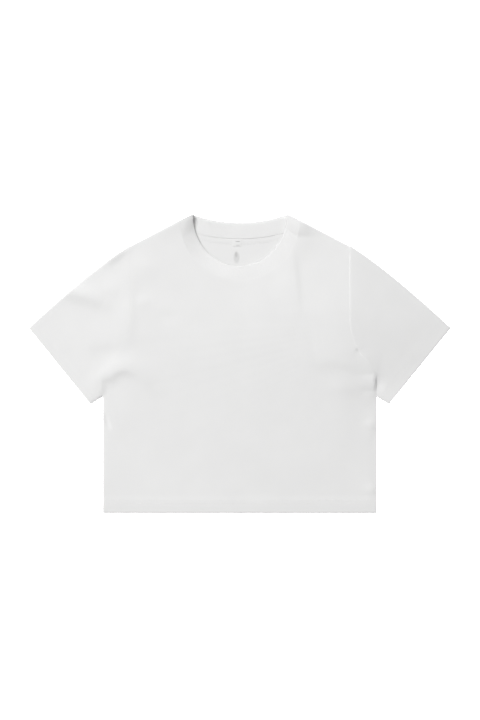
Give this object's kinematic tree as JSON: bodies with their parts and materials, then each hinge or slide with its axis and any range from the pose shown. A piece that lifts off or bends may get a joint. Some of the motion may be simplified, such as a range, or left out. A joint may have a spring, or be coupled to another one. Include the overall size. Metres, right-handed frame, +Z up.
{
  "type": "crop t-shirt",
  "caption": "Boxy short-sleeved cropped T-shirt with a ribbed crew neck, laid flat with its front up.",
  "frame": {"origin": "on the surface that the shirt lies on, under the middle of its outline", "axes": "+X across the shirt towards the sleeve on the right as seen, +Y from the hem to the neck, +Z up, from the back panel to the front panel"},
  "size_m": [0.741, 0.525, 0.0064],
  "materials": {
    "jersey": "soft white cotton jersey",
    "rib": "fine white cotton rib",
    "tape": "white cotton tape",
    "label": "smooth white woven ribbon"
  },
  "bodies": {
    "root": {"front_body": "jersey", "back_body": "jersey", "sleeve_left": "jersey", "sleeve_right": "jersey", "neck_rib": "rib", "neck_tape": "tape", "size_tab": "label"}
  },
  "joints": []
}
